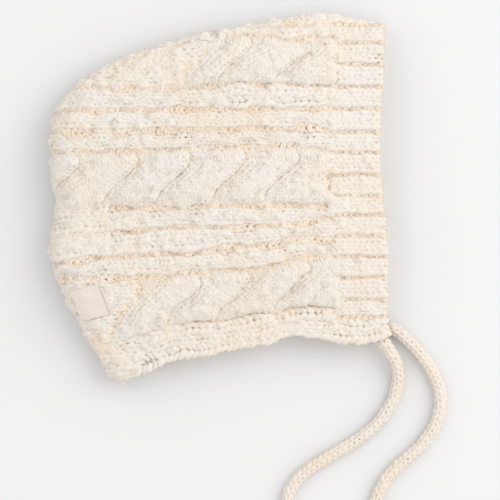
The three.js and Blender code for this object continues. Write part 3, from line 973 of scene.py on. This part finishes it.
def woven_group():
    """Shared effect: threads of a plain weave that cross, as a height."""
    name = "plain_weave"
    if name in bpy.data.node_groups:
        return bpy.data.node_groups[name]
    group, entry, leave = new_group(name, {"Vector": "Vector", "Threads": "Float"}, ("Height",))
    split = node(group, "ShaderNodeSeparateXYZ", {"Vector": entry.outputs["Vector"]})
    waves = []
    for axis in ("X", "Y"):
        turns = maths(group, "MULTIPLY", split.outputs[axis], entry.outputs["Threads"])
        waves.append(maths(group, "SINE", turns))
    put(group, leave.inputs["Height"], maths(group, "MULTIPLY", *waves))
    return group


def tape_material():
    """Bare woven tape with fine crossing threads, painted darker in the low parts of the weave as
    shade.
    """
    tape = colour_settings().tape
    material, tree, shader = soft_material("woven_tape", 0.7, 0.3, 0.25)
    uv = node(tree, "ShaderNodeUVMap", uv_map="tape")
    threads = {"Vector": uv.outputs["UV"], "Threads": 95.0}
    weave = node(tree, "ShaderNodeGroup", threads, node_tree=woven_group())
    height = weave.outputs["Height"]
    # Painted shade: the low parts of the weave are painted darker, as the shade between its
    # threads.
    shade = node(tree, "ShaderNodeMapRange", {"From Min": -1.0, "Value": height})
    colour = {
        "Factor": shade.outputs["Result"],
        "A": (*[c * 0.88 for c in tape], 1.0),
        "B": (*tape, 1.0),
    }
    shaded_tape = node(tree, "ShaderNodeMix", colour, data_type="RGBA")
    tree.links.new(shaded_tape.outputs["Result"], shader.inputs["Base Color"])
    add_bump(tree, shader, height, 0.0003)
    return material


def backing_material():
    """The cloth's inner face: the backs of the stitches as rows of purl bumps."""
    settings = knit_settings()
    material, tree, shader = soft_material("cream_purl_backs", 0.95, 0.1)
    shader.inputs["Base Color"].default_value = (*colour_settings().cream, 1.0)
    place = node(tree, "ShaderNodeTexCoord")
    split = node(tree, "ShaderNodeSeparateXYZ", {"Vector": place.outputs["Object"]})
    waves = []
    for axis, size in (("X", settings.course_height), ("Y", settings.wale_width)):
        turns = maths(tree, "MULTIPLY", split.outputs[axis], 2 * math.pi / size)
        waves.append(maths(tree, "SINE", turns))
    add_bump(tree, shader, maths(tree, "MULTIPLY_ADD", waves[1], 0.5, waves[0]), 0.0003)
    return material


def mesh_of(bm, name):
    """Turns a bmesh into a mesh and lets it go."""
    mesh = bpy.data.meshes.new(name)
    bm.to_mesh(mesh)
    bm.free()
    return mesh


class BonnetOperator:
    bl_options = {"REGISTER", "UNDO"}


class BONNET_OT_stage(BonnetOperator, bpy.types.Operator):
    """Set up the camera straight above, the pale floor and the soft light"""

    bl_idname = "bonnet.stage"
    bl_label = "Stage"

    def execute(self, context):
        settings = stage_settings()
        camera = show("camera", bpy.data.cameras.new("camera"))
        context.scene.camera = camera
        camera.location = (*CAMERA_PLACE, settings.camera_height)
        distance = settings.camera_height - VIEW_LEVEL
        camera.data.lens = camera.data.sensor_width * distance / settings.view_width
        camera.data.clip_end = 20.0

        bm = bmesh.new()
        bmesh.ops.create_grid(bm, x_segments=4, y_segments=4, size=3.0)
        floor = show("floor", mesh_of(bm, "floor"))
        material, _, shader = soft_material("pale_floor", 0.9, 0.1)
        shader.inputs["Base Color"].default_value = (*colour_settings().floor, 1.0)
        floor.data.materials.append(material)

        world = bpy.data.worlds.new("soft_sky")
        world.use_nodes = True
        sky = world.node_tree.nodes["Background"]
        sky.inputs["Color"].default_value = (1, 1, 1, 1)
        sky.inputs["Strength"].default_value = settings.sky_strength
        context.scene.world = world
        lamp = show("softbox", bpy.data.lights.new("softbox", "AREA"))
        lamp.data.shape = "SQUARE"
        lamp.data.size = 1.4
        lamp.data.energy = settings.softbox_power
        lamp.location = (1.15, 0.55, 1.15)
        lamp.rotation_euler = (-lamp.location).to_track_quat("-Z", "Y").to_euler()
        context.scene.view_settings.view_transform = "Standard"
        return {"FINISHED"}


def rows_at(place, along, rows):
    """Rows of x, y and z at places along a line."""
    return np.stack([np.interp(place, along, rows[:, k]) for k in range(3)], axis=-1)


def cord_line(route):
    """A smooth line through a route's points, every half millimetre."""
    points = np.array(route, float)
    ends = np.concatenate([[2 * points[0] - points[1]], points, [2 * points[-1] - points[-2]]])
    t = np.linspace(0, 1, 12, endpoint=False)[:, None]
    rows = []
    for a, b, c, d in zip(ends[:-3], ends[1:-2], ends[2:-1], ends[3:]):
        bend = (2 * a - 5 * b + 4 * c - d) * t * t + (3 * b - a - 3 * c + d) * t**3
        rows.append(0.5 * (2 * b + (c - a) * t + bend))
    rows = np.concatenate(rows + [points[-1:]])
    along = np.concatenate([[0], np.cumsum(np.linalg.norm(np.diff(rows, axis=0), axis=1))])
    even = np.linspace(0, along[-1], int(along[-1] / 0.5) + 1)
    return rows_at(even, along, rows), even


def knit_cord(name, route, node_name):
    """A knitted cord: four wales round a core, drawn in at its free end."""
    line, along = cord_line(route)
    tangent = np.gradient(line, axis=0)
    tangent /= np.linalg.norm(tangent, axis=1)[:, None]
    up = np.zeros_like(tangent)
    up[0] = (0, 0, 1)
    for i in range(1, len(line)):
        up[i] = up[i - 1] - tangent[i] * np.dot(up[i - 1], tangent[i])
        up[i] /= np.linalg.norm(up[i])
    side = np.cross(tangent, up)
    length = along[-1]

    def lay(spot):
        s, angle = spot[..., 1], spot[..., 0] / CORD_CORE
        inside = np.clip(s, 0, length)
        mid, way, u, v = [rows_at(inside, along, rows) for rows in (line, tangent, up, side)]
        over = (s - inside)[..., None]
        radius = (CORD_CORE + spot[..., 2]) * np.sqrt(np.clip((length - s + 1.5) / 4.0, 0.05, 1.0))
        out = u * np.sin(angle)[..., None] + v * np.cos(angle)[..., None]
        place = mid + way * over + out * radius[..., None]
        place[..., 2] = np.maximum(place[..., 2], FLOOR_ROOM)
        return place * MM

    rng = np.random.default_rng(knit_settings().seed + sum(map(ord, name)))
    yarn = Yarn(LOOP_FINE)
    count = int(round(length / CORD_COURSE))
    pitch = length / count
    across, climb, out = loop_shape(LOOP_FINE["rings"], False)
    width = 2 * math.pi * CORD_CORE / CORD_WALES
    s = ((np.arange(count) + 0.5) * pitch)[:, None] + pitch * climb[None, :]
    twist = s / CORD_TWIST
    for wale in range(CORD_WALES):
        a = (wale + 0.5 + across[None, :]) * width + twist * CORD_CORE
        lift = width * out[None, :] * 0.8 + 0.06 * rng.standard_normal((count, 1))
        swell = np.clip(1 + 0.12 * rng.standard_normal((count, 1)), 0.8, 1.25)
        radius = CORD_YARN * swell * np.ones_like(s)
        # Painted shade: the cord's yarn is painted darker and warmer where it lies low between its
        # wales.
        shade_tone = np.clip((lift + 0.7) / 1.2, 0, 1)
        yarn.add(np.stack([a, s, lift], axis=2), shade_tone, radius, lay, rng.random(count) * 10)
    piece = yarn.mesh(name, yarn_material())
    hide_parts(node_name)
    return piece


class BONNET_OT_ties(BonnetOperator, bpy.types.Operator):
    """Knit the two tie cords along their routes"""

    bl_idname = "bonnet.ties"
    bl_label = "Ties"

    def execute(self, context):
        knit_cord("tie_upper_knit", UPPER_TIE, "tie_upper")
        knit_cord("tie_lower_knit", LOWER_TIE, "tie_lower")
        return {"FINISHED"}


def rest_of_cable(name, x, y):
    """True where a cable's wales run plainly behind its last crossing."""
    run = x - through(CROSSING, cable_place(name, x, y))
    return run < CABLES[name]["ends"][-1]


class BONNET_OT_cables(BonnetOperator, bpy.types.Operator):
    """Knit the three cables and the plain knitting behind them"""

    bl_idname = "bonnet.cables"
    bl_label = "Cables"

    def execute(self, context):
        for name, cable in CABLES.items():
            wales = []
            for k in range(len(cable["ends"]) - 1):
                wales += lobe_wales(name, k)
            top = GROOVES[cable["edge"]]
            foot = GROOVES[cable["foot"]]

            def keep(x, y):
                within = (y < through(top, x) - 1.0) & (y > through(foot, x) + 1.0)
                return in_body(x, y) & within & ~rest_of_cable(name, x, y)

            fine = {"course": 2.6, "plump": 0.4, "loose": 0.5}
            piece = knit_piece("cable_" + name, wales, keep, LOOP_FINE, **fine)
            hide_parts("cable_body")
        self.plain("plain_top", "top", -92.0, 20.0)
        self.plain("plain_low", "low", -92.0, -20.0)
        return {"FINISHED"}

    def plain(self, piece_name, name, stop, start):
        cable = CABLES[name]
        top = GROOVES[cable["edge"]]
        foot = GROOVES[cable["foot"]]
        width = knit_settings().wale_width / MM
        wales = []
        for k in range(16):
            apart = 4.0 + k * width
            line = follow(foot, apart) if name == "top" else follow(top, -apart)
            wales.append(level_wale(line, start, stop, width * 1.05))

        def keep(x, y):
            plainly = rest_of_cable(name, x, y)
            if name == "top":
                plainly = plainly & (y > through(foot, x) + 1.0)
            else:
                plainly = plainly | (y < through(foot, x) + 1.0)
            below = (y < through(top, x) - 1.0) | ((name == "top") & (x < 6.0))
            return in_body(x, y) & below & plainly

        piece = knit_piece(piece_name, wales, keep, LOOP_FINE)
        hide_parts("cable_body")


class BONNET_OT_ribs(BonnetOperator, bpy.types.Operator):
    """Knit the ribs between the cables, with the purl wales in their grooves"""

    bl_idname = "bonnet.ribs"
    bl_label = "Ribs"

    def execute(self, context):
        start, stop = 66.0, -96.0
        upper = self.ribs(("cable_top_edge", "rib_1", "rib_2", "cable_mid_edge"), start, stop)
        upper.append(groove_wale("crown", start, 2.0))
        upper.append(groove_wale("crown_ridge", start, 2.0))
        crown = GROOVES["crown"]
        for rise in (3.3, 10.2, 13.8):
            upper.append(level_wale(follow(crown, rise), start, 1.0, 3.8))
        lower = self.ribs(("cable_mid_foot", "rib_3", "rib_4", "cable_low_edge"), start, stop)
        foot = GROOVES["cable_low_foot"]
        lower.append(level_wale(follow(foot), start, -40.0, 3.7, purl=True))

        def line(x):
            return (through(foot, x) + through(BAND_SEAM, x)) / 2

        def width(x):
            return 1.15 * (through(foot, x) - through(BAND_SEAM, x) - 0.8)

        lower.append(level_wale(line, start, -36.0, width))
        for piece_name, wales in (("ribs_upper", upper), ("ribs_lower", lower)):
            piece = knit_piece(piece_name, wales, in_body, LOOP_FINE)
            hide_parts("cable_body")
        return {"FINISHED"}

    def ribs(self, names, start, stop):
        """The ribs between a row of grooves, and then the purl wales in the grooves."""
        wales = []
        for pair in zip(names, names[1:]):
            wales += rib_wales(*pair, start, stop)
        for name in names:
            wales += groove_wales(name, start, stop)
        return wales


class BONNET_OT_brim(BonnetOperator, bpy.types.Operator):
    """Knit the ribbed brim round the face"""

    bl_idname = "bonnet.brim"
    bl_label = "Brim"

    def execute(self, context):
        stop = 52.0
        groove_half = 1.4
        wales = []
        lines = [BRIM_GROOVES[0] + 11.0] + BRIM_GROOVES + [BRIM_GROOVES[-1] - 9.0]
        arch, closed_top, closed_foot = CLOSED_RIB
        for upper, lower in zip(lines, lines[1:]):
            width = (upper - lower - 2 * groove_half) / 2
            for k in range(2):
                y = upper - groove_half - (k + 0.5) * width
                start = float(through(FACE_LINE, y)) + 1.0
                last = stop
                if closed_foot < y < closed_top:
                    wales.append(straight_wale(y, arch - 2.8, stop, width))
                    last = arch + 1.4
                wales.append(straight_wale(y, start, last, width * 1.02))
            start = float(through(FACE_LINE, lower)) + 1.0
            wales.append(straight_wale(lower, start, stop, 3.3, purl=True))

        ys = np.arange(closed_top - 0.5, closed_foot + 0.4, -0.5)
        xs = arch - 1.6 * np.sin((ys - closed_foot) / (closed_top - closed_foot) * math.pi)
        wales.append(Path(np.stack([xs, ys], axis=1), 3.0, purl=True, lift=0.2))

        def keep(x, y):
            edge = through(FACE_LINE, y) - 1.0 - 3.0 * ease((y - 87.0) / 5.0)
            return in_brim(x, y) & (x < edge)

        piece = knit_piece("brim_knit", wales, keep, LOOP_FINE, plump=0.39, loose=0.4)
        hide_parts("rib_brim")
        return {"FINISHED"}


def band_wales():
    """The two chains along the neck edge, from the face to the nape."""
    def upper(x):
        return (through(BAND_SEAM, x) + through(BAND_MIDDLE, x)) / 2

    def lower(x):
        return (through(BAND_MIDDLE, x) + through(NECK_LINE, x)) / 2

    def upper_width(x):
        return 1.1 * (through(BAND_SEAM, x) - through(BAND_MIDDLE, x))

    def lower_width(x):
        return 1.15 * (through(BAND_MIDDLE, x) - through(NECK_LINE, x))

    return [
        level_wale(upper, 89.0, -52.0, upper_width),
        level_wale(lower, 89.0, -52.0, lower_width),
    ]


class BONNET_OT_neck_band(BonnetOperator, bpy.types.Operator):
    """Knit the two chains along the neck edge"""

    bl_idname = "bonnet.neck_band"
    bl_label = "Neck Band"

    def execute(self, context):
        piece = knit_piece("neck_band_knit", band_wales(), on_wall, LOOP_FINE)
        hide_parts("neck_band")
        return {"FINISHED"}


class BONNET_OT_underside(BonnetOperator, bpy.types.Operator):
    """Knit the lying wall, which mirrors the upper one and is pressed flat"""

    bl_idname = "bonnet.underside"
    bl_label = "Underside"

    def execute(self, context):
        wales = []
        y = 118.0
        width = 3.8
        while y > -104.0:
            start = float(through(FACE_LINE, y)) - 1.0
            wales.append(straight_wale(y, start, -96.0, width * 1.05))
            y -= width

        def keep(x, y):
            return over_band(x, y) & (x < through(FACE_LINE, y) - 2.4)

        piece = knit_piece("underside_knit", wales, keep, LOOP_PLAIN, side=-1, loose=0.3)
        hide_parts("cable_body", "rib_brim")

        band = knit_piece("underside_band", band_wales(), on_wall, LOOP_PLAIN, side=-1, loose=0.3)
        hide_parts("neck_band")
        return {"FINISHED"}


def tab_place(along, across, lift):
    """Places in metres of points on the tab, which lies over the knitting."""
    leaning = along - TAB_SKEW * across
    x = TAB_MIDDLE[0] * DEPTH + leaning * math.cos(TAB_TILT) - across * math.sin(TAB_TILT)
    y = TAB_MIDDLE[1] * HEIGHT + leaning * math.sin(TAB_TILT) + across * math.cos(TAB_TILT)
    ease_down = 0.5 * ease((along - 4.0) / 3.5)
    return WALL.lay(x, y, lift - ease_down, 1)


class BONNET_OT_tab(BonnetOperator, bpy.types.Operator):
    """Build the woven tab as a single sheet, and the stitches that hold its end"""

    bl_idname = "bonnet.tab"
    bl_label = "Tab"

    def execute(self, context):
        length, width, thick = TAB_SIZE
        bm = bmesh.new()
        bmesh.ops.create_grid(bm, x_segments=24, y_segments=24, size=0.5, calc_uvs=False)
        uv = bm.loops.layers.uv.new("tape")
        for f in bm.faces:
            for corner in f.loops:
                corner[uv].uv = (corner.vert.co.x + 0.5, corner.vert.co.y + 0.5)
        flat = np.array([v.co[:] for v in bm.verts])
        along, across = flat[:, 0] * length, flat[:, 1] * width
        sag = 0.25 * np.sin(across * 0.7) * np.cos(along * 0.35)
        places = tab_place(along, across, TAB_LIFT + sag)
        for v, place in zip(bm.verts, places):
            v.co = place
        bmesh.ops.recalc_face_normals(bm, faces=bm.faces)
        for f in bm.faces:
            f.smooth = True
        tab = show("woven_tab", mesh_of(bm, "woven_tab"))
        tab.data.materials.append(tape_material())
        cloth = tab.modifiers.new("thickness", "SOLIDIFY")
        cloth.thickness = thick * MM
        cloth.offset = 0.0
        edge = tab.modifiers.new("soft_edge", "BEVEL")
        edge.width = 0.00025
        edge.segments = 2
        edge.angle_limit = math.radians(60)
        edge.limit_method = "ANGLE"
        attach(tab, "root")
        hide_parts("label_tab")

        stitches = Yarn(LOOP_FINE)
        count = 9
        share = np.linspace(0, 1, LOOP_FINE["rings"])
        middle = (np.arange(count) + 0.5) / count * (width - 0.6) - (width - 0.6) / 2
        across = middle[:, None] + (share - 0.5)[None, :] * 1.75
        along = np.full_like(across, length / 2 - 0.7)
        rise = np.sin(share * math.pi)[None, :] * 0.7 + 0 * across
        points = np.stack([along, across, rise], axis=2)
        radius = np.full_like(across, 0.42)

        def lay(spot):
            return tab_place(spot[..., 0], spot[..., 1], TAB_LIFT + 0.45 + spot[..., 2])

        stitches.add(points, np.ones_like(across), radius, lay, np.zeros(count))
        piece = stitches.mesh("tab_stitches", yarn_material())
        return {"FINISHED"}


class BONNET_OT_fibres(BonnetOperator, bpy.types.Operator):
    """Scatter the fine loose fibres that stand off the yarn"""

    bl_idname = "bonnet.fibres"
    bl_label = "Loose Fibres"

    def execute(self, context):
        settings = knit_settings()
        rng = np.random.default_rng(settings.seed)
        count = settings.fibres * 2
        x = rng.uniform(-90, 90, count)
        y = rng.uniform(-98, 98, count)
        inside = (WALL.spare(x, y) > 0.2) & (x < through(FACE_LINE, y) - 0.5)
        inside &= y > through(NECK_LINE, x) + 0.5
        x, y = x[inside][: settings.fibres], y[inside][: settings.fibres]
        n = len(x)
        rings = FIBRE["rings"]
        share = np.linspace(-0.5, 0.5, rings)[None, :]
        way = rng.uniform(0, 2 * math.pi, (n, 1))
        long = rng.uniform(2.5, 6.0, (n, 1))
        bow = rng.uniform(-1.2, 1.2, (n, 1)) * (0.25 - share**2) * 4
        px = x[:, None] + long * share * np.cos(way) - bow * np.sin(way)
        py = y[:, None] + long * share * np.sin(way) + bow * np.cos(way)
        stand = rng.uniform(0.0, 1.0, (n, 1))
        lift = 1.4 + relief(px, py) + stand * (0.2 + share + 0.5) * 0.7
        radius = np.repeat(rng.uniform(0.045, 0.075, (n, 1)), rings, axis=1)
        yarn = Yarn(FIBRE)

        def lay(spot):
            return WALL.lay(spot[..., 0], spot[..., 1], spot[..., 2], 1)

        points = np.stack([px, py, lift], axis=2)
        yarn.add(points, np.ones_like(px) * 1.3, radius, lay, rng.random(n))
        piece = yarn.mesh("loose_fibres", fibre_material())
        return {"FINISHED"}


class BONNET_OT_backing(BonnetOperator, bpy.types.Operator):
    """Build the inner face of the cloth, which shows inside the openings"""

    bl_idname = "bonnet.backing"
    bl_label = "Backing"

    def execute(self, context):
        bm = bmesh.new()
        bmesh.ops.create_grid(bm, x_segments=140, y_segments=160, size=1.0)
        bmesh.ops.scale(bm, vec=(110.0, 125.0, 1.0), verts=bm.verts)
        flat = np.array([v.co[:] for v in bm.verts])
        x, y = flat[:, 0], flat[:, 1]
        face = through(FACE_LINE, y) - 1.5 - x
        neck = y - through(NECK_LINE, x) - 1.5
        inward = np.minimum(np.minimum(WALL.spare(x, y), face), neck)
        outside = [v for v, room in zip(bm.verts, inward) if room < -PAST_FOLD]
        bmesh.ops.delete(bm, geom=outside, context="VERTS")
        loose = [v for v in bm.verts if not v.link_faces]
        bmesh.ops.delete(bm, geom=loose, context="VERTS")
        upper = list(bm.faces)
        made = bmesh.ops.duplicate(bm, geom=bm.verts[:] + bm.edges[:] + bm.faces[:])
        lower = [g for g in made["geom"] if isinstance(g, bmesh.types.BMFace)]
        for faces, side in ((upper, 1), (lower, -1)):
            verts = list({v for f in faces for v in f.verts})
            flat = np.array([v.co[:] for v in verts])
            x, y = flat[:, 0], flat[:, 1]
            inner = ease(WALL.spare(x, y) / 4.0)
            lift = -0.25 + (inner * relief(x, y) if side > 0 else 0 * x)
            lift += 0.5 * ease(through(BAND_SEAM, x) + 1 - y) * (side > 0)
            places = WALL.lay(x, y, lift, side)
            for v, place in zip(verts, places):
                v.co = place
        bmesh.ops.remove_doubles(bm, verts=bm.verts, dist=0.0003)
        bmesh.ops.recalc_face_normals(bm, faces=bm.faces)
        for f in bm.faces:
            f.smooth = True
        piece = show("backing", mesh_of(bm, "backing"))
        piece.data.materials.append(backing_material())
        thick = piece.modifiers.new("thickness", "SOLIDIFY")
        thick.thickness = 0.0008
        thick.offset = -1.0
        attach(piece, "root")
        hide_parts("cable_body", "rib_brim", "neck_band")
        return {"FINISHED"}


class BONNET_PT_panel(bpy.types.Panel):
    """Lists the steps that build the bonnet"""

    bl_idname = "BONNET_PT_panel"
    bl_label = "Knitted Bonnet"
    bl_space_type = "VIEW_3D"
    bl_region_type = "UI"
    bl_category = "Bonnet"

    def draw(self, context):
        layout = self.layout
        for settings in ("bonnet_knit", "bonnet_colour", "bonnet_stage"):
            group = getattr(context.scene, settings)
            for key in group.__annotations__:
                layout.prop(group, key)
        for operator in OPERATORS:
            layout.operator(operator.bl_idname)


OPERATORS = (
    BONNET_OT_stage,
    BONNET_OT_ties,
    BONNET_OT_cables,
    BONNET_OT_ribs,
    BONNET_OT_brim,
    BONNET_OT_neck_band,
    BONNET_OT_underside,
    BONNET_OT_tab,
    BONNET_OT_fibres,
    BONNET_OT_backing,
)
SETTINGS = {
    "bonnet_knit": BonnetKnitSettings,
    "bonnet_colour": BonnetColourSettings,
    "bonnet_stage": BonnetStageSettings,
}


def register():
    for name, group in SETTINGS.items():
        bpy.utils.register_class(group)
        setattr(bpy.types.Scene, name, PointerProperty(type=group))
    for made in OPERATORS + (BONNET_PT_panel,):
        bpy.utils.register_class(made)


def unregister():
    for made in reversed(OPERATORS + (BONNET_PT_panel,)):
        bpy.utils.unregister_class(made)
    for name, group in SETTINGS.items():
        delattr(bpy.types.Scene, name)
        bpy.utils.unregister_class(group)


def main():
    register()
    bpy.ops.bonnet.stage()
    bpy.ops.bonnet.ties()
    bpy.ops.bonnet.cables()
    bpy.ops.bonnet.ribs()
    bpy.ops.bonnet.brim()
    bpy.ops.bonnet.neck_band()
    bpy.ops.bonnet.underside()
    bpy.ops.bonnet.tab()
    bpy.ops.bonnet.fibres()
    bpy.ops.bonnet.backing()


if __name__ == "__main__":
    main()
